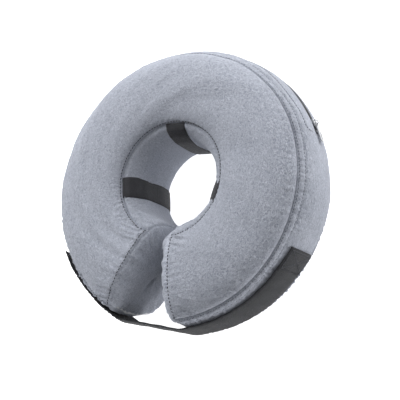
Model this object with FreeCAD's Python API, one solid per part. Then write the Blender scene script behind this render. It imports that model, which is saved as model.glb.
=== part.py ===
import FreeCAD, Part
import math
import os

# Padded ring collar for a pet, lying flat with its back panel on z = 0.
# The ring's axis is +Z, the crown of the ring is at +Y and the gap with its strap is at -Y.
# Angles around the ring are in degrees, counted anticlockwise from +X as seen from the front.

# Ring
OUTER_RADIUS = 170.0
HOLE_RADIUS = 49.0
HALF_THICKNESS = 56.3
OUTER_SHIFT = 6.5
HOLE_CENTRE_Y = 3.2
ROUND_OUTER = 2.8
ROUND_INNER = 3.2
LEFT_END = 253.5
RIGHT_END = 283.0
END_BULGE = 11.0

# Seams between the cover's panels, as angles around the cushion's cross-section
OUTER_SEAM = 43.7
INNER_SEAM = 128.0
SEAM_CLEARANCE = 0.12

# The strap pulls the outer band in around the ends of the arms
SQUEEZE_RIGHT = 6.5
SQUEEZE_LEFT = 4.0

# Flex lines between the crown and the two arms
FLEX_RIGHT = 10.0
FLEX_LEFT = 170.0
FLEX_CLEARANCE = 0.2

# Layers
COVER_THICKNESS = 2.0
BLADDER_INSET = 6.0
BLADDER_WALL = 0.6

# Zipper
ZIP_START = 29.0
ZIP_END = 151.0
ZIP_SLOT_HALF = 5.0
TAPE_HALF = 16.0
TAPE_THICKNESS = 0.5
COIL_INNER = 0.6
COIL_OUTER = 3.0
COIL_HEIGHT = 1.5
SLIDER_ANGLE = 33.0
SLIDER_LENGTH = 10.0
SLIDER_WIDTH = 8.4
PULL_LENGTH = 26.0
PULL_WIDTH = 8.0
PULL_THICKNESS = 1.1
PULL_TILT = 4.0
PIVOT_HEIGHT = 2.4

# Collar loops inside the hole
LOOP_WIDTH = 25.0
LOOP_THICKNESS = 1.5
LOOP_STANDOFF = 3.2
LOOP_ANGLES = {"top": 98.0, "left": 195.5, "right": -8.0}

# Closing strap around the outside
STRAP_WIDTH = 52.0
STRAP_THICKNESS = 1.5
STRAP_SEWN_END = 342.0
STRAP_PEEL_ANGLE = 300.0
STRAP_FREE_END = 213.0
HOOK_START = 243.0
PATCH_START = 215.0
PATCH_END = 245.0
SEWN_GAP = 0.3
STITCH_SIZE = 0.45
STITCH_HEIGHT = 0.4
STITCH_LIFT = 0.45

Vector = FreeCAD.Vector
OUTER_CENTRE_Y = HOLE_CENTRE_Y - OUTER_SHIFT


def cosd(angle):
    return math.cos(math.radians(angle))


def sind(angle):
    return math.sin(math.radians(angle))


def signed_power(value, exponent):
    return math.copysign(abs(value) ** exponent, value)


def rib(theta):
    """Start point, direction and length of the cushion's cross-section at one angle of the ring."""
    span = OUTER_RADIUS - HOLE_RADIUS
    dx = span * cosd(theta)
    dy = span * sind(theta) - OUTER_SHIFT
    width = math.hypot(dx, dy)
    start = Vector(HOLE_RADIUS * cosd(theta), HOLE_CENTRE_Y + HOLE_RADIUS * sind(theta), HALF_THICKNESS)
    return start, Vector(dx / width, dy / width, 0), width


def smooth(t):
    t = min(1.0, max(0.0, t))
    return t * t * (3.0 - 2.0 * t)


def squeeze(theta):
    """How far the strap pulls the perimeter in at one angle of the ring."""
    theta = (theta + 90.0) % 360.0 - 90.0
    return SQUEEZE_RIGHT * smooth((6.0 - theta) / 36.0) + SQUEEZE_LEFT * smooth((theta - 212.0) / 25.0)


def section_point(theta, b, offset, scale=1.0, push=0.0):
    """A point of the rounded cross-section, moved out along its normal.

    b is 0 on the outer perimeter, 90 on the front face and 180 on the wall of the hole.
    scale shrinks the section about its centre and push moves it along the ring.
    """
    start, along, width = rib(theta)
    half = 0.5 * width
    power = ROUND_OUTER if cosd(b) > 0 else ROUND_INNER
    p = half * signed_power(cosd(b), 2.0 / power)
    f = HALF_THICKNESS * signed_power(sind(b), 2.0 / power)
    if cosd(b) > 0:
        offset = offset - squeeze(theta) * smooth((43.0 - abs(f)) / 14.0)
    normal_p = signed_power(p / half, power - 1.0) / half
    normal_f = signed_power(f / HALF_THICKNESS, power - 1.0) / HALF_THICKNESS
    length = math.hypot(normal_p, normal_f)
    p = scale * (p + offset * normal_p / length)
    f = scale * (f + offset * normal_f / length)
    tangent = Vector(-along.y, along.x, 0)
    return start + along * (half + p) + Vector(0, 0, f) + tangent * push


def b_of_height(f):
    """Angle b on the outer perimeter where the surface is f from the middle plane."""
    return math.degrees(math.asin(signed_power(f / HALF_THICKNESS, 0.5 * ROUND_OUTER)))


def spread(first, last, count):
    return [first + (last - first) * i / (count - 1) for i in range(count)]


def spline(points, parameters):
    curve = Part.BSplineCurve()
    curve.interpolate(Points=points, Parameters=parameters)
    return curve.toShape()


def chord_parameters(points):
    total = [0.0]
    for a, b in zip(points, points[1:]):
        total.append(total[-1] + (b - a).Length)
    return [value / total[-1] for value in total]


def band_wire(outer, inner, parameters):
    """Closed wire of a thin band: a curve, an end, the inner curve back, and the other end."""
    back = [1.0 - value for value in reversed(parameters)]
    return Part.Wire([
        spline(outer, parameters),
        Part.makeLine(outer[-1], inner[-1]),
        spline(list(reversed(inner)), back),
        Part.makeLine(inner[0], outer[0]),
    ])


def strip(theta0, theta1, b0, b1, low, high, step=8.0, rows=9):
    """A curved sheet that follows the cushion between two ring angles and two section angles."""
    bs = spread(b0, b1, rows)
    middle = 0.5 * (theta0 + theta1)
    parameters = chord_parameters([section_point(middle, b, high) for b in bs])
    count = max(4, int(abs(theta1 - theta0) / step) + 2)
    wires = []
    for theta in spread(theta0, theta1, count):
        outer = [section_point(theta, b, high) for b in bs]
        inner = [section_point(theta, b, low) for b in bs]
        wires.append(band_wire(outer, inner, parameters))
    return Part.makeLoft(wires, True, False)


def ring_wire(theta, offset, scale=1.0, push=0.0, count=32):
    """The whole cross-section as one closed curve."""
    bs = [11.25 + 360.0 * i / count for i in range(count)]
    points = [section_point(theta, b, offset, scale, push) for b in bs]
    curve = Part.BSplineCurve()
    parameters = [i / count for i in range(count + 1)]
    curve.interpolate(Points=points, PeriodicFlag=True, Parameters=parameters)
    return Part.Wire([curve.toShape()])


def local_frame(theta, radius):
    """Placement on the perimeter: X along the ring, Y to the front, Z outward."""
    matrix = FreeCAD.Matrix(
        -sind(theta), 0, cosd(theta), radius * cosd(theta),
        cosd(theta), 0, sind(theta), OUTER_CENTRE_Y + radius * sind(theta),
        0, 1, 0, HALF_THICKNESS,
        0, 0, 0, 1,
    )
    return FreeCAD.Placement(matrix)


def box(x0, x1, y0, y1, z0, z1):
    return Part.makeBox(x1 - x0, y1 - y0, z1 - z0, Vector(x0, y0, z0))


def fuse_all(shapes):
    return shapes[0].multiFuse(shapes[1:]).removeSplitter()


# Cover ---------------------------------------------------------------------------------------

ZONES = {
    "crown": (FLEX_RIGHT + FLEX_CLEARANCE, FLEX_LEFT - FLEX_CLEARANCE),
    "left": (FLEX_LEFT + FLEX_CLEARANCE, LEFT_END),
    "right": (RIGHT_END - 360.0, FLEX_RIGHT - FLEX_CLEARANCE),
}
PANELS = {
    "front_panel": (OUTER_SEAM, INNER_SEAM),
    "inner_band": (INNER_SEAM, 360.0 - INNER_SEAM),
    "back_panel": (360.0 - INNER_SEAM, 360.0 - OUTER_SEAM),
    "outer_band": (-OUTER_SEAM, OUTER_SEAM),
}


def zipper_opening():
    """The long slot with round ends that the zipper shows through."""
    edge = b_of_height(ZIP_SLOT_HALF)
    slot = strip(ZIP_START, ZIP_END, -edge, edge, -COVER_THICKNESS - 1.0, 1.0, rows=5)
    ends = []
    for theta in (ZIP_START, ZIP_END):
        hole = Part.makeCylinder(ZIP_SLOT_HALF - 0.02, 6.0, Vector(0, 0, -4))
        hole.Placement = local_frame(theta, OUTER_RADIUS)
        ends.append(hole)
    return fuse_all([slot] + ends)


def cover_panel(panel, zone):
    theta0, theta1 = ZONES[zone]
    b0, b1 = PANELS[panel]
    shape = strip(theta0, theta1, b0 + SEAM_CLEARANCE, b1 - SEAM_CLEARANCE, -COVER_THICKNESS, 0.0)
    if panel == "outer_band" and zone == "crown":
        shape = shape.cut(zipper_opening())
    return shape


def dome(theta, direction, offset, bulge, base):
    """Solid bulge over the end of an arm, closing to a point at its middle."""
    wires = [ring_wire(theta, offset, 1.0, direction * base)]
    for angle in (14.0, 30.0, 46.0, 62.0, 76.0):
        wires.append(ring_wire(theta, offset, cosd(angle), direction * (base + bulge * sind(angle))))
    start, along, width = rib(theta)
    tangent = Vector(-along.y, along.x, 0)
    tip = start + along * (0.5 * width) + tangent * (direction * (base + bulge))
    return Part.makeLoft(wires + [Part.Vertex(tip)], True, False)


def end_panel(theta, direction):
    """The rounded fabric end of an arm, a shell as thick as the cover."""
    outside = dome(theta, direction, 0.0, END_BULGE, 0.2)
    inside = dome(theta, direction, -COVER_THICKNESS, END_BULGE - 0.4, -1.4)
    return outside.cut(inside)


def bladder(theta0, theta1):
    """Inflated inner tube, a thin closed wall around air."""
    def tube(first, last, inset):
        count = int(abs(last - first) / 10.0) + 2
        return Part.makeLoft([ring_wire(t, -inset) for t in spread(first, last, count)], True, False)
    wall = math.degrees(BLADDER_WALL / 100.0)
    outside = tube(theta0 + 0.4, theta1 - 0.4, BLADDER_INSET)
    inside = tube(theta0 + 0.4 + wall, theta1 - 0.4 - wall, BLADDER_INSET + BLADDER_WALL)
    return outside.cut(inside)


# Collar loops --------------------------------------------------------------------------------

def collar_loop(theta):
    """Flat webbing sewn at the front and back seams, arching over the wall of the hole."""
    bs = spread(INNER_SEAM + 4.0, 356.0 - INNER_SEAM, 13)
    face = []
    back = []
    for i, b in enumerate(bs):
        rise = 2.0 + (LOOP_STANDOFF - 2.0) * math.sin(math.pi * i / (len(bs) - 1))
        face.append(section_point(theta, b, rise + LOOP_THICKNESS))
        back.append(section_point(theta, b, rise))
    wire = band_wire(face, back, chord_parameters(face))
    along = rib(theta)[1]
    side = Vector(-along.y, along.x, 0) * LOOP_WIDTH
    wire.translate(side * -0.5)
    return Part.Face(wire).extrude(side)


# Zipper --------------------------------------------------------------------------------------

TAPE_TOP = -COVER_THICKNESS - 0.1
TAPE_BOTTOM = TAPE_TOP - TAPE_THICKNESS
COIL_BOTTOM = TAPE_TOP + 0.05


def zipper_strip(side, inner, outer, low, high, margin):
    b0 = b_of_height(side * inner)
    b1 = b_of_height(side * outer)
    return strip(ZIP_START + margin, ZIP_END - margin, min(b0, b1), max(b0, b1), low, high, rows=5)


def zipper_stop(theta, y0, y1):
    """Small clamp over the end of a coil."""
    top = COIL_BOTTOM + COIL_HEIGHT + 0.7
    shape = box(-1.2, 1.2, y0, y1, COIL_BOTTOM + COIL_HEIGHT + 0.1, top)
    shape = shape.makeFillet(0.25, [e for e in shape.Edges if e.CenterOfMass.z > top - 0.01])
    shape.Placement = local_frame(theta, OUTER_RADIUS)
    return shape


def slider_plate(z0, z1):
    """Plate seen from above: wide at the leading end, narrow at the closed end, corners rounded."""
    half = 0.5 * SLIDER_LENGTH
    wide = 0.5 * SLIDER_WIDTH
    narrow = wide - 0.9
    outline = Part.makePolygon([
        Vector(-half, -narrow, z0), Vector(0.5, -wide, z0), Vector(half, -wide, z0),
        Vector(half, wide, z0), Vector(0.5, wide, z0), Vector(-half, narrow, z0),
        Vector(-half, -narrow, z0),
    ])
    plate = Part.Face(outline).extrude(Vector(0, 0, z1 - z0))
    corners = [e for e in plate.Edges
               if abs(e.Vertexes[0].Z - e.Vertexes[-1].Z) > 0.1 and abs(e.Vertexes[0].X) > 1.0]
    return plate.makeFillet(1.2, corners)


def slider_body():
    """Upper and lower plate joined by a thin post between the coils, with a flange at each side."""
    upper = slider_plate(-0.1, 1.3)
    rim = [e for e in upper.Edges if e.CenterOfMass.z > 1.29]
    upper = upper.makeFillet(0.45, rim)
    lower = slider_plate(-4.4, TAPE_BOTTOM - 0.3)
    post = box(1.2, 4.6, -0.3, 0.3, -4.0, 0.5)
    flanges = []
    for side in (-1, 1):
        y0, y1 = sorted((side * (COIL_OUTER + 0.35), side * (COIL_OUTER + 1.1)))
        flanges.append(box(0.2, 4.2, y0, y1, TAPE_TOP + 0.25, 0.3))
    return fuse_all([upper, lower, post] + flanges)


def slider_bail():
    """Low arch on the upper plate that the pull tab swings on."""
    outside = Part.makeCylinder(3.9, 1.7, Vector(0, 0.85, 1.35), Vector(0, -1, 0))
    inside = Part.makeCylinder(2.9, 1.9, Vector(0, 0.95, 1.35), Vector(0, -1, 0))
    arch = outside.cut(inside).common(box(-5, 5, -2, 2, 1.35, 8))
    edges = [e for e in arch.Edges if e.CenterOfMass.z > 3.0 and abs(e.CenterOfMass.y) > 0.8]
    return arch.makeFillet(0.3, edges)


def pull_tab():
    """Long rounded tab with a slot round the bail and a recessed grip near its free end."""
    half = 0.5 * PULL_THICKNESS
    neck = 2.6
    wide = 0.5 * PULL_WIDTH

    def half_width(x):
        t = min(1.0, max(0.0, (-x - 1.0) / (PULL_LENGTH - 8.0)))
        return neck + (wide - neck) * math.sin(0.5 * math.pi * t)

    stations = spread(-0.2, -(PULL_LENGTH - wide), 8)
    side_a = [Vector(x, half_width(x), -half) for x in stations]
    side_b = [Vector(x, -half_width(x), -half) for x in reversed(stations)]
    tip = Vector(-PULL_LENGTH, 0, -half)
    nose = Vector(0.75, 0, -half)
    edges = [
        Part.BSplineCurve(),
        Part.Arc(side_a[-1], tip, side_b[0]),
        Part.BSplineCurve(),
        Part.Arc(side_b[-1], nose, side_a[0]),
    ]
    edges[0].interpolate(side_a)
    edges[2].interpolate(side_b)
    outline = Part.Wire([e.toShape() for e in edges])
    plate = Part.Face(outline).extrude(Vector(0, 0, PULL_THICKNESS))
    plate = plate.makeFillet(0.3, [e for e in plate.Edges if abs(abs(e.CenterOfMass.z) - half) < 0.01])
    slot = box(-5.4, -0.75, -1.35, 1.35, -3, 3)
    slot = slot.makeFillet(0.6, [e for e in slot.Edges if abs(e.Vertexes[0].Z - e.Vertexes[-1].Z) > 1])
    grip = box(-PULL_LENGTH + 3.5, -PULL_LENGTH + 12.5, -2.0, 2.0, half - 0.25, half + 1)
    grip = grip.makeFillet(1.9, [e for e in grip.Edges if abs(e.Vertexes[0].Z - e.Vertexes[-1].Z) > 1])
    shape = plate.cut(slot).cut(grip)
    shape.rotate(Vector(0, 0, 0), Vector(0, 1, 0), -PULL_TILT)
    shape.translate(Vector(0, 0, PIVOT_HEIGHT))
    return shape


def on_slider(shape):
    shape.Placement = local_frame(SLIDER_ANGLE, OUTER_RADIUS).multiply(shape.Placement)
    return shape


# Strap ---------------------------------------------------------------------------------------

def perimeter(theta):
    radius = OUTER_RADIUS - squeeze(theta)
    return Vector(radius * cosd(theta), OUTER_CENTRE_Y + radius * sind(theta), HALF_THICKNESS)


def strap_station(theta):
    """Point and outward direction on the strap's route: round the arms, straight over the gap."""
    first = perimeter(LEFT_END)
    across = perimeter(RIGHT_END) - first
    straight = Vector(across.y, -across.x, 0).normalize()
    radial = Vector(cosd(theta), sind(theta), 0)
    if LEFT_END < theta < RIGHT_END:
        return first + across * ((theta - LEFT_END) / (RIGHT_END - LEFT_END)), straight
    if theta in (LEFT_END, RIGHT_END):
        return perimeter(theta), (radial + straight).normalize()
    return perimeter(theta), radial


def fall_away(f):
    """How far the outer band curves inward at height f from the middle plane."""
    return (section_point(0.0, b_of_height(f), 0.0) - section_point(0.0, 0.0, 0.0)).x


def strap_strip(thetas, lows, thickness, half_width):
    heights = spread(-half_width, half_width, 7)
    parameters = [(f + half_width) / (2.0 * half_width) for f in heights]
    wires = []
    for theta, low in zip(thetas, lows):
        point, out = strap_station(theta)
        outer = [point + out * (low + thickness + fall_away(f)) + Vector(0, 0, f) for f in heights]
        inner = [point + out * (low + fall_away(f)) + Vector(0, 0, f) for f in heights]
        wires.append(band_wire(outer, inner, parameters))
    return Part.makeLoft(wires, True, False)


def strap_anchor():
    """The part of the strap that stays on the right arm, up to its sewn end."""
    thetas = spread(STRAP_PEEL_ANGLE + 0.2, STRAP_SEWN_END, 7)
    return strap_strip(thetas, [SEWN_GAP] * 7, STRAP_THICKNESS, 0.5 * STRAP_WIDTH)


def strap_webbing():
    """The part that peels: over the gap and on to the left arm, a little higher over the hooks."""
    thetas = [299.8, 296.0, 292.0, 287.5, RIGHT_END, 276.0, 268.5, 261.0, LEFT_END]
    lows = [0.6, 0.8, 1.1, 1.6, 2.2, 1.9, 2.2, 2.6, 3.4] + [3.2] * 10
    thetas += spread(249.0, STRAP_FREE_END, 10)
    return strap_strip(thetas, lows, STRAP_THICKNESS, 0.5 * STRAP_WIDTH)


def strap_stitching():
    """Box of thread that holds the sewn end, standing just clear of the webbing."""
    base = SEWN_GAP + STRAP_THICKNESS + STITCH_LIFT
    t0 = STRAP_SEWN_END - 8.5
    t1 = STRAP_SEWN_END - 1.2
    h = 0.5 * STRAP_WIDTH - 3.0
    width = math.degrees(STITCH_SIZE / OUTER_RADIUS)
    threads = []
    for theta in (t0, t1):
        thetas = spread(theta - width, theta + width, 3)
        threads.append(strap_strip(thetas, [base] * 3, STITCH_HEIGHT, h))
    for side in (-1, 1):
        b = b_of_height(side * h)
        b_in = b_of_height(side * (h - 2.0 * STITCH_SIZE))
        top = base + STITCH_HEIGHT
        threads.append(strip(t0, t1, min(b, b_in), max(b, b_in), base, top, step=3.0, rows=4))
    return fuse_all(threads)


def hook_tape():
    """Hooked tape under the free end of the strap."""
    thetas = spread(STRAP_FREE_END + 0.6, HOOK_START, 7)
    return strap_strip(thetas, [1.5] * 7, 0.9, 0.5 * STRAP_WIDTH - 1.5)


def fastening_patch():
    """Looped pile patch on the left arm that the hooks hold."""
    thetas = spread(PATCH_START, PATCH_END, 7)
    return strap_strip(thetas, [SEWN_GAP] * 7, 0.9, 0.5 * STRAP_WIDTH - 1.0)


# Assembly ------------------------------------------------------------------------------------

def all_parts():
    parts = {}
    for panel in PANELS:
        for zone in ZONES:
            parts[panel + "_" + zone] = cover_panel(panel, zone)
    parts["end_panel_left"] = end_panel(LEFT_END, 1)
    parts["end_panel_right"] = end_panel(RIGHT_END - 360.0, -1)
    for zone, (theta0, theta1) in ZONES.items():
        parts["bladder_" + zone] = bladder(theta0, theta1)
    for name, theta in LOOP_ANGLES.items():
        parts["collar_loop_" + name] = collar_loop(theta)
    coil_top = COIL_BOTTOM + COIL_HEIGHT
    for name, side in (("front", 1), ("back", -1)):
        tape = zipper_strip(side, COIL_INNER, TAPE_HALF, TAPE_BOTTOM, TAPE_TOP, -1.0)
        parts["zipper_tape_" + name] = tape
        coil = zipper_strip(side, COIL_INNER, COIL_OUTER, COIL_BOTTOM, coil_top, -0.5)
        parts["zipper_coil_" + name] = coil
        y0, y1 = sorted((side * COIL_INNER, side * (COIL_OUTER + 0.4)))
        parts["zipper_stop_top_" + name] = zipper_stop(ZIP_START + 0.3, y0, y1)
    parts["zipper_stop_bottom"] = zipper_stop(ZIP_END - 0.3, -COIL_OUTER - 0.4, COIL_OUTER + 0.4)
    parts["slider_body"] = on_slider(slider_body())
    parts["slider_bail"] = on_slider(slider_bail())
    parts["pull_tab"] = on_slider(pull_tab())
    parts["strap_anchor"] = strap_anchor()
    parts["strap_stitching"] = strap_stitching()
    parts["strap_webbing"] = strap_webbing()
    parts["strap_hook_tape"] = hook_tape()
    parts["fastening_patch"] = fastening_patch()
    return parts


os.makedirs("parts", exist_ok=True)
for node, shape in all_parts().items():
    solid = shape.Solids[0]
    solid.exportStep("parts/" + node + ".step")
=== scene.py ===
import math
import bmesh
import bpy
import numpy as np
from mathutils import Matrix, Vector


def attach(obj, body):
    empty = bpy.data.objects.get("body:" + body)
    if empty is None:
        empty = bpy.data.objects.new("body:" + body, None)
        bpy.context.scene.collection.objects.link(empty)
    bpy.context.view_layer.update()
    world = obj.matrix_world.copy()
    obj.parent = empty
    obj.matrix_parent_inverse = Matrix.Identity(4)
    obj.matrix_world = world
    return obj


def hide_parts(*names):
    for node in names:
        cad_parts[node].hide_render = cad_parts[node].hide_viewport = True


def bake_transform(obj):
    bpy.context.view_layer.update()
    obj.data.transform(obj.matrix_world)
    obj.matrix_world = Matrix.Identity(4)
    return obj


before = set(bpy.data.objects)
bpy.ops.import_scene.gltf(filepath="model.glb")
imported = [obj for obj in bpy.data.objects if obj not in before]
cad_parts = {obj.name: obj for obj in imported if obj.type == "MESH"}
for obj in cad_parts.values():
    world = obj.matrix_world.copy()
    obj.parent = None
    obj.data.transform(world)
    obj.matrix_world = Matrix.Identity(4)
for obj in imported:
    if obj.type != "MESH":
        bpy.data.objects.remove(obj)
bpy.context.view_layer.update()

scene = bpy.context.scene

# Padded ring collar. Lengths are in millimetres and angles in degrees, unless a name says otherwise.
# th goes round the ring, anticlockwise from +X. b goes round the cushion's cross-section: 0 on the
# outer perimeter, 90 in front, 180 on the wall of the hole. f is a height off the middle plane.

# Ring, as the CAD model has it
R_OUT, R_IN, HALF_T, SHIFT, HOLE_Y = 170.0, 49.0, 56.3, 6.5, 3.2
OUT_Y = HOLE_Y - SHIFT
ROUND_OUTER, ROUND_INNER = 2.8, 3.2
SQUEEZE_RIGHT, SQUEEZE_LEFT = 6.5, 4.0
OUTER_SEAM, INNER_SEAM = 43.7, 128.0
CROWN = 90.0
END = {"right": -75.2, "left": 253.5}
SLANT_START = 208.0
LOWEST = 0.3

# Direction in which th grows along each arm, seen from its end towards the crown
INWARD = {"right": 1, "left": -1}

# Zipper and the two rows of stitching beside it
ZIP0, ZIP1 = 29.0, 151.0
SLOT_HALF = 4.4
ZIP_STITCH_F = 26.0
TOPSTITCH_F = 35.0
COIL_PITCH = 1.55

# Strap and loops
STRAP_HALF_WIDTH, STRAP_THICKNESS = 26.0, 1.6
STRAP_SEWN_END, STRAP_FREE_END = 342.0, 213.0
STRAP_LEAVES_RIGHT = 283.0
LOOP_HALF_WIDTH = 12.5


# Camera, floor and light ----------------------------------------------------------------------

def make_camera():
    data = bpy.data.cameras.new("camera")
    data.lens, data.sensor_width = 83.04, 36.0
    data.shift_x, data.shift_y = 0.0219, -0.0322
    data.clip_end = 20.0
    cam = bpy.data.objects.new("camera", data)
    scene.collection.objects.link(cam)
    right, up, back = (0.8414, 0.1990, -0.5025), (-0.0870, 0.9676, 0.2375), (0.5334, -0.1561, 0.8314)
    distance = 1.0897
    place = [c + distance * b for c, b in zip((0.0, HOLE_Y / 1000, HALF_T / 1000), back)]
    rows = [[right[i], up[i], back[i], place[i]] for i in range(3)] + [[0, 0, 0, 1]]
    cam.matrix_world = Matrix(rows)
    scene.camera = cam


def area_light(name, place, size, power):
    """Round soft light that points at the middle of the collar. Place and size are in metres."""
    data = bpy.data.lights.new(name, "AREA")
    data.shape, data.size, data.energy = "DISK", size, power
    lamp = bpy.data.objects.new(name, data)
    scene.collection.objects.link(lamp)
    lamp.location = place
    direction = Vector((0.0, 0.0, 0.05)) - lamp.location
    lamp.rotation_euler = direction.to_track_quat("-Z", "Y").to_euler()


def make_stage():
    world = bpy.data.worlds.new("studio")
    world.use_nodes = True
    background = world.node_tree.nodes["Background"]
    background.inputs[0].default_value = (1, 1, 1, 1)
    background.inputs[1].default_value = 0.30
    scene.world = world
    scene.view_settings.view_transform = "Standard"
    mesh = bpy.data.meshes.new("floor")
    half, z = 6.0, -0.0005
    corners = [(-half, -half, z), (half, -half, z), (half, half, z), (-half, half, z)]
    mesh.from_pydata(corners, [], [(0, 1, 2, 3)])
    floor = bpy.data.objects.new("floor", mesh)
    scene.collection.objects.link(floor)
    mat, nodes, links, shader = new_material("floor_white")
    shader.inputs["Base Color"].default_value = (0.9, 0.9, 0.9, 1)
    shader.inputs["Roughness"].default_value = 0.9
    shader.inputs["Emission Color"].default_value = (1, 1, 1, 1)
    shader.inputs["Emission Strength"].default_value = 0.95
    mesh.materials.append(mat)
    area_light("key", (-1.15, 0.75, 1.05), 0.6, 24.0)
    area_light("top", (0.1, 1.35, 0.75), 0.8, 11.0)
    area_light("front", (0.5, -0.2, 1.5), 1.2, 3.5)
    area_light("rim", (1.1, 0.9, 0.35), 0.8, 4.0)


# Materials ------------------------------------------------------------------------------------

def new_material(name):
    mat = bpy.data.materials.new(name)
    mat.use_nodes = True
    nodes, links = mat.node_tree.nodes, mat.node_tree.links
    return mat, nodes, links, nodes["Principled BSDF"]


def coords(nodes, links, scale, kind="UV"):
    """Texture coordinates in metres, so that scale is the number of features per metre."""
    source = nodes.new("ShaderNodeTexCoord")
    mapping = nodes.new("ShaderNodeMapping")
    mapping.inputs["Scale"].default_value = scale
    links.new(source.outputs[kind], mapping.inputs["Vector"])
    return mapping.outputs["Vector"]


def noise(nodes, links, vector, detail, roughness, distortion=0.0):
    node = nodes.new("ShaderNodeTexNoise")
    node.inputs["Scale"].default_value = 1.0
    node.inputs["Detail"].default_value = detail
    node.inputs["Roughness"].default_value = roughness
    node.inputs["Distortion"].default_value = distortion
    links.new(vector, node.inputs["Vector"])
    return node.outputs["Fac"]


def ramp(nodes, links, fac, stops):
    """Colour ramp from a list of (position, RGB)."""
    node = nodes.new("ShaderNodeValToRGB")
    elements = node.color_ramp.elements
    while len(elements) < len(stops):
        elements.new(0.5)
    for element, (place, colour) in zip(elements, stops):
        element.position = place
        element.color = (*colour, 1)
    links.new(fac, node.inputs["Fac"])
    return node.outputs["Color"]


def multiply(nodes, links, a, b, factor):
    """Colour a, multiplied by colour b as strongly as factor says."""
    node = nodes.new("ShaderNodeMix")
    node.data_type, node.blend_type = "RGBA", "MULTIPLY"
    node.inputs[0].default_value = factor
    links.new(a, node.inputs[6])
    links.new(b, node.inputs[7])
    return node.outputs[2]


def math_node(nodes, links, operation, *values):
    node = nodes.new("ShaderNodeMath")
    node.operation = operation
    for socket, value in zip(node.inputs, values):
        if isinstance(value, float):
            socket.default_value = value
        else:
            links.new(value, socket)
    return node.outputs[0]


def bump(nodes, links, shader, heights):
    """heights is a list of (height socket, distance in metres)."""
    normal = None
    for height, distance in heights:
        node = nodes.new("ShaderNodeBump")
        node.inputs["Distance"].default_value = distance
        links.new(height, node.inputs["Height"])
        if normal is not None:
            links.new(normal, node.inputs["Normal"])
        normal = node.outputs["Normal"]
    links.new(normal, shader.inputs["Normal"])


def plush_material():
    """Short-napped plush: slow mottling, streaky nap and fine pile."""
    mat, nodes, links, shader = new_material("plush")
    mottle = noise(nodes, links, coords(nodes, links, (34, 26, 30)), 3.0, 0.6, 0.6)
    nap = noise(nodes, links, coords(nodes, links, (400, 560, 400)), 2.0, 0.6, 1.6)
    pile = noise(nodes, links, coords(nodes, links, (1100, 1500, 1300)), 2.0, 0.7)
    nap_colours = [(0.32, (0.27, 0.29, 0.342)), (0.5, (0.39, 0.414, 0.476)), (0.68, (0.54, 0.565, 0.63))]
    base = ramp(nodes, links, nap, nap_colours)
    shade = ramp(nodes, links, mottle, [(0.3, (0.93, 0.935, 0.945)), (0.7, (1.0, 1.0, 1.0))])
    grain = ramp(nodes, links, pile, [(0.3, (0.86, 0.86, 0.87)), (0.65, (1.0, 1.0, 1.0))])
    colour = multiply(nodes, links, multiply(nodes, links, base, shade, 0.9), grain, 0.8)
    links.new(colour, shader.inputs["Base Color"])
    shader.inputs["Roughness"].default_value = 0.95
    shader.inputs["Specular IOR Level"].default_value = 0.12
    shader.inputs["Sheen Weight"].default_value = 0.55
    shader.inputs["Sheen Roughness"].default_value = 0.38
    shader.inputs["Sheen Tint"].default_value = (0.88, 0.91, 1.0, 1)
    bump(nodes, links, shader, [(mottle, 0.0012), (nap, 0.0012), (pile, 0.0005)])
    return mat


def woven_material(name, dark, light, across, along, sheen=0.25, fuzz=0.5):
    """Webbing or tape: across and along are threads per metre, fuzz is how strongly fluff shows."""
    mat, nodes, links, shader = new_material(name)
    split = nodes.new("ShaderNodeSeparateXYZ")
    links.new(coords(nodes, links, (1, 1, 1)), split.inputs[0])
    ribs = []
    for socket, threads in ((split.outputs[0], along), (split.outputs[1], across)):
        phase = math_node(nodes, links, "MULTIPLY", socket, threads * 6.283)
        ribs.append(math_node(nodes, links, "SINE", phase))
    weave = math_node(nodes, links, "MULTIPLY_ADD", math_node(nodes, links, "MULTIPLY", *ribs), 0.5, 0.5)
    fluff = noise(nodes, links, coords(nodes, links, (900, 700, 800)), 3.0, 0.7)
    wear = noise(nodes, links, coords(nodes, links, (40, 60, 50)), 2.0, 0.6)
    fluff_shade = ramp(nodes, links, fluff, [(0.3, (0.6, 0.6, 0.6)), (0.7, (1.25, 1.25, 1.25))])
    wear_shade = ramp(nodes, links, wear, [(0.3, (0.8, 0.8, 0.8)), (0.7, (1.1, 1.1, 1.12))])
    colour = ramp(nodes, links, weave, [(0.1, dark), (0.9, light)])
    colour = multiply(nodes, links, colour, fluff_shade, fuzz)
    colour = multiply(nodes, links, colour, wear_shade, 0.8)
    links.new(colour, shader.inputs["Base Color"])
    shader.inputs["Roughness"].default_value = 0.85
    shader.inputs["Specular IOR Level"].default_value = 0.2
    shader.inputs["Sheen Weight"].default_value = sheen
    shader.inputs["Sheen Roughness"].default_value = 0.4
    bump(nodes, links, shader, [(weave, 0.00035), (fluff, 0.0003)])
    return mat


def metal_material():
    mat, nodes, links, shader = new_material("zipper_metal_satin")
    marks = noise(nodes, links, coords(nodes, links, (700, 300, 900), "Object"), 4.0, 0.6)
    colour = ramp(nodes, links, marks, [(0.3, (0.30, 0.305, 0.32)), (0.7, (0.52, 0.53, 0.55))])
    polish = ramp(nodes, links, marks, [(0.3, (0.36, 0.36, 0.36)), (0.7, (0.24, 0.24, 0.24))])
    links.new(colour, shader.inputs["Base Color"])
    links.new(polish, shader.inputs["Roughness"])
    shader.inputs["Metallic"].default_value = 1.0
    bump(nodes, links, shader, [(marks, 0.00006)])
    return mat


def plastic_material(name, dark, light, roughness, scale):
    mat, nodes, links, shader = new_material(name)
    grain = noise(nodes, links, coords(nodes, links, (scale, scale, scale), "Object"), 3.0, 0.6)
    links.new(ramp(nodes, links, grain, [(0.3, dark), (0.7, light)]), shader.inputs["Base Color"])
    shader.inputs["Roughness"].default_value = roughness
    bump(nodes, links, shader, [(grain, 0.0001)])
    return mat


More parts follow.
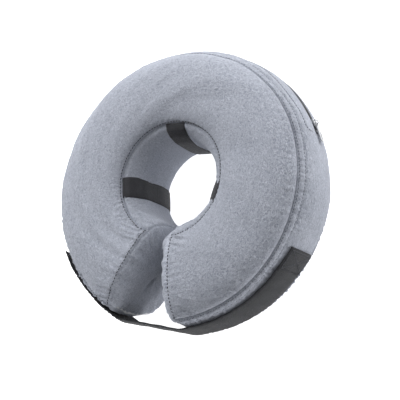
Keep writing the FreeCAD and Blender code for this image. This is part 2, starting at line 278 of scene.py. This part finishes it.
MATS = {
    "plush": plush_material(),
    "loop": woven_material(
        "loop_webbing_dark", (0.018, 0.018, 0.021), (0.06, 0.061, 0.068), 420.0, 640.0),
    "strap": woven_material(
        "strap_napped", (0.02, 0.021, 0.024), (0.06, 0.062, 0.069), 480.0, 700.0, 0.12, 0.9),
    "hook": woven_material(
        "hook_tape_dark", (0.012, 0.012, 0.014), (0.06, 0.06, 0.066), 420.0, 420.0, 0.0, 0.4),
    "pile": woven_material(
        "loop_pile_dark", (0.03, 0.03, 0.034), (0.085, 0.086, 0.094), 300.0, 300.0, 0.5, 1.0),
    "tape": woven_material(
        "zipper_tape_woven", (0.07, 0.073, 0.082), (0.15, 0.155, 0.17), 900.0, 700.0),
    "thread": plastic_material(
        "seam_thread_dark", (0.008, 0.008, 0.01), (0.03, 0.031, 0.036), 0.75, 900.0),
    "thread_light": plastic_material(
        "topstitch_thread", (0.06, 0.063, 0.075), (0.13, 0.136, 0.16), 0.75, 900.0),
    "coil": plastic_material(
        "zipper_coil_nylon", (0.02, 0.021, 0.025), (0.06, 0.062, 0.07), 0.4, 600.0),
    "film": plastic_material(
        "bladder_film_clear", (0.55, 0.56, 0.58), (0.66, 0.67, 0.69), 0.45, 60.0),
    "metal": metal_material(),
}


# Surface of the cushion -----------------------------------------------------------------------

def spow(value, power):
    """Power that keeps the sign."""
    return np.sign(value) * np.abs(value) ** power


def smooth(t):
    t = np.clip(t, 0, 1)
    return t * t * (3 - 2 * t)


def bell(d, centre, width):
    return np.exp(-((d - centre) / width) ** 2)


def fade_in(d, reach):
    """0 up to d = 0, then a straight rise to 1 at reach."""
    return np.clip(d / reach, 0, 1)


def squeeze(th):
    """How far the strap pulls the perimeter in."""
    th = (np.asarray(th, float) + 90.0) % 360.0 - 90.0
    return SQUEEZE_RIGHT * smooth((6.0 - th) / 36.0) + SQUEEZE_LEFT * smooth((th - 212.0) / 25.0)


def outline_power(b):
    """Power of the rounded cross-section, which is squarer towards the hole."""
    return np.where(np.cos(np.radians(b)) > 0, ROUND_OUTER, ROUND_INNER)


def surf(th, b, off=0.0, scale=1.0, push=0.0):
    """Points of the cushion, in metres.

    off moves them out along the surface's normal, scale shrinks the cross-section about its
    centre and push moves them along the ring. The left arm's end is slanted, as in the photograph.
    """
    values = [np.asarray(value, float) for value in (th, b, off, scale, push)]
    th, b, off, scale, push = np.broadcast_arrays(*values)
    a = np.radians(b)
    power = outline_power(b)
    profile = spow(np.cos(a), 2 / power)
    reach = 0.5 + 0.5 * profile
    slant = (3.5 - 5.5 * reach) * smooth((th - SLANT_START) / (END["left"] - SLANT_START)) * (th > 180)
    t = np.radians(th + slant)
    dx = (R_OUT - R_IN) * np.cos(t)
    dy = (R_OUT - R_IN) * np.sin(t) - SHIFT
    width = np.hypot(dx, dy)
    ex, ey = dx / width, dy / width
    half = 0.5 * width
    p = half * profile
    f = HALF_T * spow(np.sin(a), 2 / power)
    off = off - np.where(np.cos(a) > 0, squeeze(th) * smooth((43.0 - np.abs(f)) / 14.0), 0.0)
    gp = spow(p / half, power - 1) / half
    gf = spow(f / HALF_T, power - 1) / HALF_T
    g = np.hypot(gp, gf)
    p = scale * (p + off * gp / g)
    f = scale * (f + off * gf / g)
    x = R_IN * np.cos(t) + ex * (half + p) - ey * push
    y = HOLE_Y + R_IN * np.sin(t) + ey * (half + p) + ex * push
    return np.stack([x, y, np.maximum(HALF_T + f, LOWEST)], -1) / 1000.0


def b_of(f):
    """Angle b on the outer band at height f."""
    return np.degrees(np.arcsin(spow(np.asarray(f, float) / HALF_T, 0.5 * ROUND_OUTER)))


def f_of(b):
    """Height on the outer band at angle b."""
    return spow(np.sin(np.radians(b)), 2 / ROUND_OUTER) * HALF_T


def waves(s, size, seed):
    """Smooth one-dimensional noise, about -1 to 1, with features of the given size."""
    rng = np.random.RandomState(seed)
    total = 0.0
    for i in range(7):
        total = total + np.sin(2 * np.pi * s * rng.uniform(0.55, 1.6) / size + rng.uniform(0, 6.283))
    return total / 3.2


def waves2(s, t, size, seed):
    """The same in two dimensions."""
    rng = np.random.RandomState(seed)
    total = 0.0
    for i in range(9):
        angle, k = rng.uniform(0, 6.283), rng.uniform(0.6, 1.5)
        along = s * np.cos(angle) + t * np.sin(angle)
        total = total + np.sin(2 * np.pi * k * along / size + rng.uniform(0, 6.283))
    return total / 3.6


def run_length(points):
    """Distance along a line of points, from its first one."""
    return np.concatenate([[0], np.cumsum(np.linalg.norm(np.diff(points, axis=0), axis=1))])


B_TABLE = np.linspace(-180, 360, 1081)
ARC_TABLE = run_length(surf(CROWN, B_TABLE) * 1000.0)


def arc(b):
    """Length round the cross-section up to angle b."""
    return np.interp(b, B_TABLE, ARC_TABLE)


def b_at_arc(length):
    return np.interp(length, ARC_TABLE, B_TABLE)


def radius_at(b):
    half = 0.5 * (R_OUT - R_IN)
    return R_IN + half + half * spow(np.cos(np.radians(b)), 2 / outline_power(b))


def roll(d, reach, depth):
    """A fabric edge rolling down into a seam: -depth at the seam, 0 from reach onward."""
    t = fade_in(d, reach)
    return -depth * (1 - np.sqrt(np.clip(1 - (1 - t) ** 2, 0, 1)))


def relief(th, b, b0, b1, side):
    """How far the plush of the panel from b0 to b1 stands off the plain surface."""
    s = np.radians(th) * radius_at(b)
    u = arc(b)
    d0, d1 = u - arc(b0), arc(b1) - u
    d_seam = np.minimum(d0, d1)
    d_end = np.abs(np.radians(th - END[side])) * radius_at(b)
    # Slow dents, edges rolling into the seams, and the front panel's own fullness
    off = 0.9 * waves2(s, u, 85.0, 11) + 0.2 * waves2(s, u, 30.0, 12)
    off += roll(np.minimum(d_seam, d_end), 7.0, 3.6)
    if b0 == OUTER_SEAM:
        off += 4.5 * (1 - (2 * d0 / (d0 + d1) - 1) ** 2)
    # Puckers along both seams, stronger towards the arms
    pucker = 8.0
    low = 0.2 + 0.5 * np.clip(np.abs(th - CROWN) / 130.0, 0, 1)
    for d, seed in ((d0, 200 + int(b0)), (d1, 700 + int(b1))):
        lengthwise = waves(s + 3.0 * waves(u, 14.0, seed), pucker, seed)
        lengthwise = lengthwise + 0.6 * waves(s, 0.45 * pucker, seed + 1)
        off += 0.75 * low * lengthwise * bell(d, 3.0, 11.0) * fade_in(d, 2.5)
    # Creases across the end of the arm and at its corners
    cross = waves(u, 9.0, 81) + 0.5 * waves(u, 4.5, 82)
    off += 0.35 * cross * bell(d_end, 4.0, 13.0) * fade_in(d_end, 3.0)
    corner = bell(np.hypot(d_seam - 6.0, d_end - 14.0), 0.0, 14.0)
    off += 1.4 * corner * waves(s * 0.7 + u * 0.7, 11.0, 91) * fade_in(d_end, 4.0)
    return off


def topstitch_relief(th, b):
    """Second line of stitching beside each outer seam, with the band between the two gathered."""
    s = np.radians(th) * R_OUT
    d = np.abs(f_of(b)) - TOPSTITCH_F
    low = 0.15 + 0.75 * np.clip((np.abs(th - CROWN) - 70.0) / 70.0, 0, 1)
    low = low * np.where(np.asarray(b) < 0, 0.4, 1.0)
    off = -1.5 * bell(d, 0.0, 1.5)
    gathers = waves(s, 6.5, 140) + 0.5 * waves(s, 3.2, 141)
    off += 1.1 * low * gathers * bell(d, 4.2, 3.4)
    off += 0.9 * low * waves(s, 9.0, 142) * bell(d, -6.0, 7.0)
    return off


# Mesh building --------------------------------------------------------------------------------

def finish_piece(name, mesh, material, slot, rides=None, bends=None, stands_for=()):
    """Object of a mesh, with its material, on its body, or with its transform baked in where bends is
    given.
    """
    for polygon in mesh.polygons:
        polygon.use_smooth = True
    mesh.materials.append(MATS[material])
    obj = bpy.data.objects.new(name, mesh)
    scene.collection.objects.link(obj)
    if bends:
        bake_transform(obj)
    else:
        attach(obj, rides)
    if stands_for:
        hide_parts(*stands_for)
    return obj


def bmesh_edit(mesh, edit):
    """Runs one edit on a mesh through bmesh."""
    bm = bmesh.new()
    bm.from_mesh(mesh)
    edit(bm)
    bm.to_mesh(mesh)
    bm.free()


def grid_mesh(name, points, uv, keep=None, close_rows=False):
    """Mesh of a rows x columns x 3 array, with uv in metres. keep marks the faces that exist."""
    rows, cols = points.shape[:2]
    index = np.arange(rows * cols).reshape(rows, cols)
    if close_rows:
        index = np.vstack([index, index[:1]])
    corners = [index[:-1, :-1], index[:-1, 1:], index[1:, 1:], index[1:, :-1]]
    faces = np.stack(corners, -1).reshape(-1, 4)
    if keep is not None:
        faces = faces[keep.reshape(-1)]
    mesh = bpy.data.meshes.new(name)
    verts = [tuple(p) for p in points.reshape(-1, 3)]
    mesh.from_pydata(verts, [], [tuple(int(i) for i in f) for f in faces])
    layer = mesh.uv_layers.new(name="metres")
    flat = uv.reshape(-1, 2)
    loops = np.zeros(len(mesh.loops), dtype=np.int32)
    mesh.loops.foreach_get("vertex_index", loops)
    layer.data.foreach_set("uv", flat[loops].astype(np.float32).reshape(-1))
    return mesh


def tubes(name, lines, radius):
    """One mesh of many short threads, each a line of points, round and tapered at both ends.

    The points and the radius are in metres.
    """
    sides = 6
    verts, faces = [], []
    for line in lines:
        line = np.asarray(line)
        n = len(line)
        tangent = np.gradient(line, axis=0)
        tangent /= np.linalg.norm(tangent, axis=1)[:, None] + 1e-12
        a = np.cross(tangent, np.array([0.31, 0.27, 0.91]))
        a /= np.linalg.norm(a, axis=1)[:, None] + 1e-12
        c = np.cross(tangent, a)
        base = len(verts)
        for i in range(n):
            r = radius * (0.55 if i in (0, n - 1) else 1.0)
            for k in range(sides):
                angle = 2 * np.pi * k / sides
                verts.append(tuple(line[i] + r * (a[i] * math.cos(angle) + c[i] * math.sin(angle))))
        for i in range(n - 1):
            for k in range(sides):
                j = (k + 1) % sides
                faces.append((base + i * sides + k, base + i * sides + j,
                              base + (i + 1) * sides + j, base + (i + 1) * sides + k))
        faces.append(tuple(base + k for k in reversed(range(sides))))
        faces.append(tuple(base + (n - 1) * sides + k for k in range(sides)))
    mesh = bpy.data.meshes.new(name)
    mesh.from_pydata(verts, [], faces)
    return mesh


def dash_lines(th, b, lift, length, gap):
    """Cuts a route on the cushion into stitches that rise over the cloth and dip at their ends."""
    along = run_length(surf(th, b, lift) * 1000.0)
    lines = []
    for start in np.arange(gap, along[-1] - length, length + gap):
        s = start + length * np.array([0.0, 0.2, 0.5, 0.8, 1.0])
        height = np.interp(s, along, lift) + 0.35 * np.array([-1.2, 0.3, 0.8, 0.3, -1.2])
        lines.append(surf(np.interp(s, along, th), np.interp(s, along, b), height))
    return lines


# Cover ----------------------------------------------------------------------------------------

def bend_of(side):
    """Crown and arm, with two points across the line where the arm flexes; finish_piece only checks that
    it is given.
    """
    arm = side + "_arm"
    x = 0.105 if side == "right" else -0.105
    return ("crown", arm, (x, 0.052, 0.056), (x, -0.030, 0.056))


def side_angles(side, step):
    """Angles from the crown to the end of one arm."""
    count = int(abs(CROWN - END[side]) / step) + 1
    return np.linspace(CROWN, END[side], count)


def panel_uv(th, b):
    return np.stack([np.radians(th) * 0.115, arc(b) / 1000.0], -1)


def facing_out(side, grid):
    """Rows run with b and columns with th, so one side needs its columns turned to face out."""
    return grid[:, ::-1] if side == "right" else grid


def nodes_of(panel, side):
    """CAD nodes that one half of a cover panel stands for. The right half takes the crown's too."""
    return [f"{panel}_{side}"] + ([f"{panel}_crown"] if side == "right" else [])


def cover_panel(panel, b0, b1, side):
    ths = side_angles(side, 0.55)
    bs = b_at_arc(np.linspace(arc(b0), arc(b1), int((arc(b1) - arc(b0)) / 1.5)))
    B, TH = np.meshgrid(bs, ths, indexing="ij")
    points = surf(TH, B, relief(TH, B, b0, b1, side))
    mesh = grid_mesh(panel, facing_out(side, points), facing_out(side, panel_uv(TH, B)))
    obj = finish_piece(f"{panel}_{side}_plush", mesh, "plush", "plush_cover", bends=bend_of(side),
                       stands_for=nodes_of(panel, side))


def slot_half(th):
    """Half width of the zipper's slot, with round ends."""
    d = np.radians(np.minimum(th - ZIP0, ZIP1 - th)) * R_OUT
    t = fade_in(d + SLOT_HALF, SLOT_HALF)
    return SLOT_HALF * np.sqrt(np.clip(1 - (1 - t) ** 2, 0, 1))


def zip_line(th):
    """1 along the zipper's stitching and 0 beyond its ends."""
    return fade_in(th - ZIP0 + 3, 2.0) * fade_in(ZIP1 + 3 - th, 2.0)


def band_relief(th, b, side):
    """Relief of the outer band: seams, both rows of stitching, and the slot's rolled edge."""
    f = f_of(b)
    s = np.radians(th) * R_OUT
    inside = fade_in(slot_half(th), 2.0)
    edge = roll(np.abs(f) - slot_half(th), 3.5, 2.2)
    off = relief(th, b, -OUTER_SEAM, OUTER_SEAM, side) + topstitch_relief(th, b)
    off = off - 1.0
    off = off + inside * edge
    off = off - 0.45 * zip_line(th) * bell(np.abs(f), ZIP_STITCH_F, 1.3)
    off = off + 0.3 * zip_line(th) * waves(s, 7.0, 160) * bell(np.abs(f), 24.0, 5.0)
    near = bell(f, 0.0, 9.0) * inside
    return off * (1 - 0.75 * near) + near * 0.75 * edge


def outer_band(side):
    """Outer band of one half, with the zipper's slot left open between its two rows of faces."""
    ths = side_angles(side, 0.45)
    count = 36
    half = np.linspace(0.0, 1.0, count)
    LV, TH = np.meshgrid(np.concatenate([-half[::-1], half]), ths, indexing="ij")
    sign = np.where(np.arange(2 * count)[:, None] < count, -1.0, 1.0)
    start = arc(b_of(slot_half(TH))) - arc(0.0)
    full = arc(OUTER_SEAM) - arc(0.0)
    B = b_at_arc(arc(0.0) + sign * (start + (full - start) * np.abs(LV)))
    points = facing_out(side, surf(TH, B, band_relief(TH, B, side)))
    keep = np.ones((2 * count - 1, len(ths) - 1), bool)
    keep[count - 1] = False
    mesh = grid_mesh("outer_band", points, facing_out(side, panel_uv(TH, B)), keep=keep)
    bmesh_edit(mesh, lambda bm: bmesh.ops.remove_doubles(bm, verts=bm.verts, dist=0.00001))
    obj = finish_piece(f"outer_band_{side}_plush", mesh, "plush", "plush_cover", bends=bend_of(side),
                       stands_for=nodes_of("outer_band", side))


PANELS = (
    ("front_panel", OUTER_SEAM, INNER_SEAM),
    ("inner_band", INNER_SEAM, 360 - INNER_SEAM),
    ("back_panel", 360 - INNER_SEAM, 360 - OUTER_SEAM),
)


def rim_offset(side, b):
    """Offset of the panels' rolled edge all round the end of an arm, which the end cap starts from."""
    off = np.zeros_like(b)
    around = np.where(b < -OUTER_SEAM, b + 360.0, b)
    for _, b0, b1 in PANELS:
        inside = (around >= b0) & (around <= b1)
        off[inside] = relief(END[side], around[inside], b0, b1, side)
    inside = np.abs(b) < OUTER_SEAM
    off[inside] = band_relief(END[side], b[inside], side)
    return off


def end_cap(side):
    """Domed end of an arm, from the panels' edge inward. d is the way in from that edge."""
    bs = np.linspace(-180.0, 180.0, 181)[:-1]
    ks = np.concatenate([np.linspace(1.0, 0.9, 14), np.linspace(0.88, 0.02, 36)])
    B, K = np.meshgrid(bs, ks, indexing="ij")
    d = (1 - K) * 55.0
    u = arc(B)
    crease = (0.8 * waves(u, 13.0, 201) + 0.5 * waves(u, 6.0, 202)) * bell(d, 5.0, 11.0) * fade_in(d, 3.0)
    inner = bell(np.abs(B), 135.0, 22.0)
    crease += 1.6 * inner * waves(u * 0.8 + d * 0.5, 12.0, 203) * bell(d, 9.0, 12.0)
    fullness, height = 3.2, 11.4
    if side == "right":
        # Fold that swells past the seam at the front inner corner, with a groove beside it
        crease += 5.0 * bell(B, 128.0, 17.0) * bell(d, 8.0, 7.0)
        crease -= 2.0 * bell(B, 108.0, 6.0) * bell(d, 12.0, 7.0)
        fullness, height = 8.0, 13.0
    bulge = height * np.sqrt(np.clip(1 - K ** fullness, 0, 1)) + crease
    bulge += 0.9 * waves2(u * 0.4, d, 30.0, 204) * fade_in(d, 10.0)
    points = surf(END[side], B, rim_offset(side, bs)[:, None] + 0.1, K, -INWARD[side] * (bulge - 0.4))
    uv = np.stack([u / 1000.0, d / 1000.0], -1)
    if side == "left":
        points, uv = points[:, ::-1], uv[:, ::-1]
    mesh = grid_mesh("end_cap", points, uv, close_rows=True)
    obj = finish_piece(f"end_cap_{side}_plush", mesh, "plush", "plush_cover", rides=side + "_arm",
                       stands_for=[f"end_panel_{side}"])


def seam_stitches():
    """Dark stitches beside the inner seams and the front edge of each end, pale ones on the band."""
    for side in ("right", "left"):
        th = np.linspace(CROWN, END[side] + 1.2 * INWARD[side], 700)
        lines = []
        for seam, inset, b0, b1 in ((INNER_SEAM, -2.4, OUTER_SEAM, INNER_SEAM),
                                    (360 - INNER_SEAM, 2.4, 360 - INNER_SEAM, 360 - OUTER_SEAM)):
            b = np.full_like(th, b_at_arc(arc(seam) + inset))
            lines += dash_lines(th, b, relief(th, b, b0, b1, side) + 0.2, 2.3, 1.5)
        b = np.linspace(OUTER_SEAM + 2, INNER_SEAM - 1, 300)
        edge = END[side] + INWARD[side] * np.degrees(2.4 / radius_at(b))
        lift = relief(edge, b, OUTER_SEAM, INNER_SEAM, side) + 0.15
        lines += dash_lines(edge, b, lift, 2.3, 1.7)
        mesh = tubes("inner_seam_stitches", lines, 0.0005)
        finish_piece(f"inner_seam_stitches_{side}", mesh, "thread", "strap_thread", bends=bend_of(side))
        lines = []
        for sign in (1, -1):
            for b_row in (b_at_arc(arc(OUTER_SEAM) - 2.2), float(b_of(TOPSTITCH_F))):
                b = np.full_like(th, sign * b_row)
                lines += dash_lines(th, b, band_relief(th, b, side) + 0.05, 2.4, 1.5)
        mesh = tubes("outer_seam_stitches", lines, 0.00032)
        finish_piece(f"outer_seam_stitches_{side}", mesh, "thread_light", "strap_thread",
                     bends=bend_of(side))


def zipper_stitches():
    """Line of stitching round the zipper's tape, with rounded corners at both ends."""
    for side, first in (("right", ZIP0 - 1.2), ("left", ZIP1 + 1.2)):
        turn = np.linspace(0, np.pi / 2, 14)
        th_turn = first + INWARD[side] * 2.6 * (1 - np.cos(turn))
        f_turn = ZIP_STITCH_F - 7.0 * (1 - np.sin(turn))
        th_long = np.linspace(th_turn[-1], CROWN, 300)[1:]
        th = np.concatenate([[first], th_turn, th_long])
        lines = []
        for face in (1, -1):
            b = b_of(np.concatenate([[0.0], f_turn, np.full(len(th_long), ZIP_STITCH_F)]) * face)
            lines += dash_lines(th, b, band_relief(th, b, side) + 0.25, 2.6, 1.2)
        mesh = tubes("zipper_stitches", lines, 0.00033)
        finish_piece(f"zipper_stitches_{side}", mesh, "thread_light", "strap_thread", rides="crown")


# Webbing and zipper ---------------------------------------------------------------------------

def close_ends(bm):
    bmesh.ops.holes_fill(bm, edges=[e for e in bm.edges if e.is_boundary], sides=0)
    bmesh.ops.recalc_face_normals(bm, faces=bm.faces)


def sheet_mesh(name, points, normals, uv, thickness):
    """Closed flat band from middle-line rows of points and their outward normals, all in metres."""
    edge = np.zeros(points.shape[0])
    edge[0] = edge[-1] = 1.0
    lift = 0.5 * thickness * (1 - 0.45 * edge)[:, None, None]
    loop = np.concatenate([points + normals * lift, (points - normals * lift)[::-1]], 0)
    mesh = grid_mesh(name, loop, np.concatenate([uv, uv[::-1]], 0), close_rows=True)
    bmesh_edit(mesh, close_ends)
    return mesh


def collar_loop(name, theta, lift, **place):
    """25 mm webbing over the wall of the hole, tucked into the front and back seams."""
    count = 70
    bs = np.linspace(INNER_SEAM + 0.6, 359.4 - INNER_SEAM, count)
    t = np.linspace(0, 1, count)
    rise = -1.6 + lift * np.clip(np.sin(np.pi * t) * 3.2, 0, 1) ** 0.7
    centre = surf(theta, bs, rise)
    inward = surf(theta, bs, rise + 1.0) - centre
    inward /= np.linalg.norm(inward, axis=1)[:, None]
    angle = math.radians(theta)
    side = np.array([-math.sin(angle), math.cos(angle), 0.0])
    across = np.linspace(-LOOP_HALF_WIDTH, LOOP_HALF_WIDTH, 27)
    ripple = 0.12 * waves(t * 100, 18.0, 300)
    sag = -0.5 * (across / LOOP_HALF_WIDTH) ** 2 / 1000.0
    points = centre[None] + side[None, None] * (across / 1000.0)[:, None, None]
    points = points + inward[None] * (sag[:, None, None] + (ripple / 1000.0)[None, :, None])
    normals = np.broadcast_to(inward[None], points.shape)
    uv = np.stack(np.meshgrid(across / 1000.0, t * 0.11, indexing="ij"), -1)
    mesh = sheet_mesh(name, points, normals, uv, 0.0015)
    finish_piece(name + "_webbing", mesh, "loop", "loop_webbing", stands_for=[name], **place)
    edge_lines = []
    for x in (-10.6, 10.6):
        height = 0.00085 - 0.0005 * (x / LOOP_HALF_WIDTH) ** 2 + ripple[:, None] / 1000.0
        line = centre + side * (x / 1000.0) + inward * height
        for i in range(2, count - 4, 3):
            edge_lines.append(line[i:i + 3])
    mesh = tubes(name + "_edge", edge_lines, 0.00026)
    finish_piece(name + "_edge_stitches", mesh, "thread", "strap_thread", **place)


# One turn of a zipper coil, as distance from the middle plane, height over the cover and way along
COIL_TURN = (
    (3.0, -1.75, -0.15), (3.15, -1.2, 0.0), (2.6, -0.72, 0.1), (1.4, -0.62, 0.12),
    (0.5, -0.8, 0.15), (0.15, -1.25, 0.2), (0.6, -1.75, 0.2),
)


def zipper_coil(name, sign):
    """Nylon coil of one side, its turns half a pitch off those of the other side."""
    pitch = COIL_PITCH / R_OUT
    start = math.radians(ZIP0) + (0.5 * pitch if sign > 0 else 0.0)
    middle = np.array([0.0, OUT_Y, HALF_T])
    turns = []
    for i in range(int(math.radians(ZIP1 - ZIP0) / pitch)):
        t = start + i * pitch
        radial = np.array([math.cos(t), math.sin(t), 0.0])
        along = np.array([-math.sin(t), math.cos(t), 0.0])
        line = []
        for f, height, way in COIL_TURN:
            point = middle + radial * (R_OUT + height) + along * way + np.array([0, 0, sign * f])
            line.append(point / 1000.0)
        turns.append(line)
    mesh = tubes("zipper_coil", turns, 0.00046)
    finish_piece(f"zipper_coil_{name}_turns", mesh, "coil", "zipper_coil", rides="crown",
                 stands_for=["zipper_coil_" + name])


def zipper_tape(name, sign):
    th = np.linspace(ZIP0 - 1, ZIP1 + 1, 200)
    F, TH = np.meshgrid(np.linspace(0.6, 15.5, 12), th, indexing="ij")
    B = b_of(F * sign)
    points = surf(TH, B, -2.5)
    normals = (surf(TH, B, -1.5) - points) * 1000.0
    uv = np.stack([np.radians(TH) * R_OUT / 1000.0, F / 1000.0], -1)
    mesh = sheet_mesh("zipper_tape", points, normals, uv, 0.0006)
    finish_piece(f"zipper_tape_{name}_woven", mesh, "tape", "zipper_tape", rides="crown",
                 stands_for=["zipper_tape_" + name])


# Strap ----------------------------------------------------------------------------------------

def strap_route(thetas):
    """Points and outward directions: round the arms and straight over the gap."""
    def rim(theta):
        a, r = math.radians(theta), R_OUT - float(squeeze(theta))
        return np.array([r * math.cos(a), OUT_Y + r * math.sin(a), HALF_T])
    left, right = END["left"], STRAP_LEAVES_RIGHT
    first, across = rim(left), rim(right) - rim(left)
    straight = np.array([across[1], -across[0], 0.0]) / np.linalg.norm(across)
    points, outs = [], []
    for theta in thetas:
        a = math.radians(theta)
        radial = np.array([math.cos(a), math.sin(a), 0.0])
        if left < theta < right:
            points.append(first + across * (theta - left) / (right - left))
        else:
            points.append(rim(theta))
        w = float(smooth((min(theta - left, right - theta) + 3.0) / 6.0))
        out = (1 - w) * radial + w * straight
        outs.append(out / np.linalg.norm(out))
    return np.array(points), np.array(outs)


def fall(f):
    """How far the outer band curves inward at height f."""
    return (surf(0.0, b_of(f)) - surf(0.0, 0.0))[..., 0] * 1000.0


def strap_band(name, thetas, low, thickness, half_width):
    """Band that follows the strap's route. low is the height of its underside over the cover."""
    points, outs = strap_route(thetas)
    route = run_length(points)
    fs = np.linspace(-half_width, half_width, 31)
    low = np.asarray(low) + 0.25 * waves(route, 24.0, 410)
    lift = low[None, :] + 0.5 * thickness + fall(fs)[:, None]
    lift = lift + 0.22 * waves2(fs[:, None], route[None, :], 26.0, 411)
    mid = points[None] + outs[None] * lift[..., None]
    mid[..., 2] += fs[:, None]
    normals = np.broadcast_to(outs[None], mid.shape)
    uv = np.stack(np.meshgrid(fs / 1000.0, route / 1000.0, indexing="ij"), -1)
    return sheet_mesh(name, mid / 1000.0, normals, uv, thickness / 1000.0)


def strap():
    """Webbing from its sewn end on the right arm to its free end, with a stitched edge."""
    thetas = np.linspace(STRAP_SEWN_END, STRAP_FREE_END, 230)
    stations = [STRAP_FREE_END, 249, 254, 262, 270, 278, STRAP_LEAVES_RIGHT, 290, STRAP_SEWN_END]
    low = np.interp(thetas, stations, [3.0, 3.0, 3.3, 2.5, 2.0, 1.6, 1.4, 0.7, 0.6])
    peel_points, _ = strap_route([303.0, 295.0])
    start, end = [tuple(p / 1000.0) for p in peel_points]
    mesh = strap_band("strap", thetas, low, STRAP_THICKNESS, STRAP_HALF_WIDTH)
    finish_piece("closing_strap_webbing", mesh, "strap", "strap_webbing",
                 bends=("right_arm", "strap", start, end), stands_for=["strap_anchor", "strap_webbing"])
    points, outs = strap_route(thetas)
    edge_lines = []
    for f in (-23.8, 23.8):
        lift = low + 1.5 + float(fall(np.array(f))) * 0.95
        line = points + outs * lift[:, None] + np.array([0, 0, f])
        for i in range(1, len(line) - 3, 4):
            edge_lines.append(line[i:i + 3] / 1000.0)
    mesh = tubes("strap_edge_stitches", edge_lines, 0.00032)
    finish_piece("strap_edge_stitches", mesh, "thread", "strap_thread",
                 bends=("right_arm", "strap", start, end))


def hook_and_pile():
    """Hooked tape under the strap's free end, and the pile patch on the left arm that holds it."""
    count, thickness = 50, 0.9
    mesh = strap_band("hooks", np.linspace(243.0, 213.6, count), np.full(count, 1.5), thickness, 24.5)
    finish_piece("strap_hook_tape_hooks", mesh, "hook", "hook_tape", rides="strap",
                 stands_for=["strap_hook_tape"])
    mesh = strap_band("pile", np.linspace(245.0, 215.0, count), np.full(count, 0.3), thickness, 25.0)
    finish_piece("fastening_patch_pile", mesh, "pile", "loop_pile", rides="left_arm",
                 stands_for=["fastening_patch"])


def strap_box_stitches():
    """Box with a cross inside it that holds the sewn end of the strap."""
    near, far, half = 341.0, 333.0, 23.0
    length, filled, mm_per_degree = 2.9, 0.72, 2.97
    corners = [(near, -half), (near, half), (far, half), (far, -half),
               (near, -half), (far, half), (far, -half), (near, half)]
    top = 0.6 + STRAP_THICKNESS + 0.25
    lines = []
    for (ta, fa), (tb, fb) in zip(corners, corners[1:]):
        count = max(4, int(math.hypot((ta - tb) * mm_per_degree, fa - fb) / length))
        for i in range(count):
            t = np.linspace(i / count, (i + filled) / count, 4)
            points, outs = strap_route(ta + (tb - ta) * t)
            f = fa + (fb - fa) * t
            lift = top + fall(f) + np.array([-0.2, 0.15, 0.15, -0.2])
            lines.append((points + outs * lift[:, None] + np.stack([0 * f, 0 * f, f], -1)) / 1000.0)
    mesh = tubes("strap_box_stitches", lines, 0.00036)
    finish_piece("strap_box_stitches", mesh, "thread_light", "strap_thread", rides="right_arm",
                 stands_for=["strap_stitching"])


def cad_finishes():
    """Metal and film on the CAD parts that stay visible."""
    for name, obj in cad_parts.items():
        if name.startswith(("slider", "pull", "zipper_stop")):
            material = MATS["metal"]
        elif name.startswith("bladder"):
            material = MATS["film"]
        else:
            continue
        obj.data.materials.clear()
        obj.data.materials.append(material)


make_camera()
make_stage()
for arm in ("right", "left"):
    for panel, b0, b1 in PANELS:
        cover_panel(panel, b0, b1, arm)
    outer_band(arm)
    end_cap(arm)
seam_stitches()
zipper_stitches()
collar_loop("collar_loop_top", 98.0, 3.4, rides="crown")
collar_loop("collar_loop_left", 195.5, 3.4, bends=bend_of("left"))
collar_loop("collar_loop_right", -8.0, 2.2, bends=bend_of("right"))
for name, sign in (("front", 1), ("back", -1)):
    zipper_coil(name, sign)
    zipper_tape(name, sign)
strap()
hook_and_pile()
strap_box_stitches()
cad_finishes()
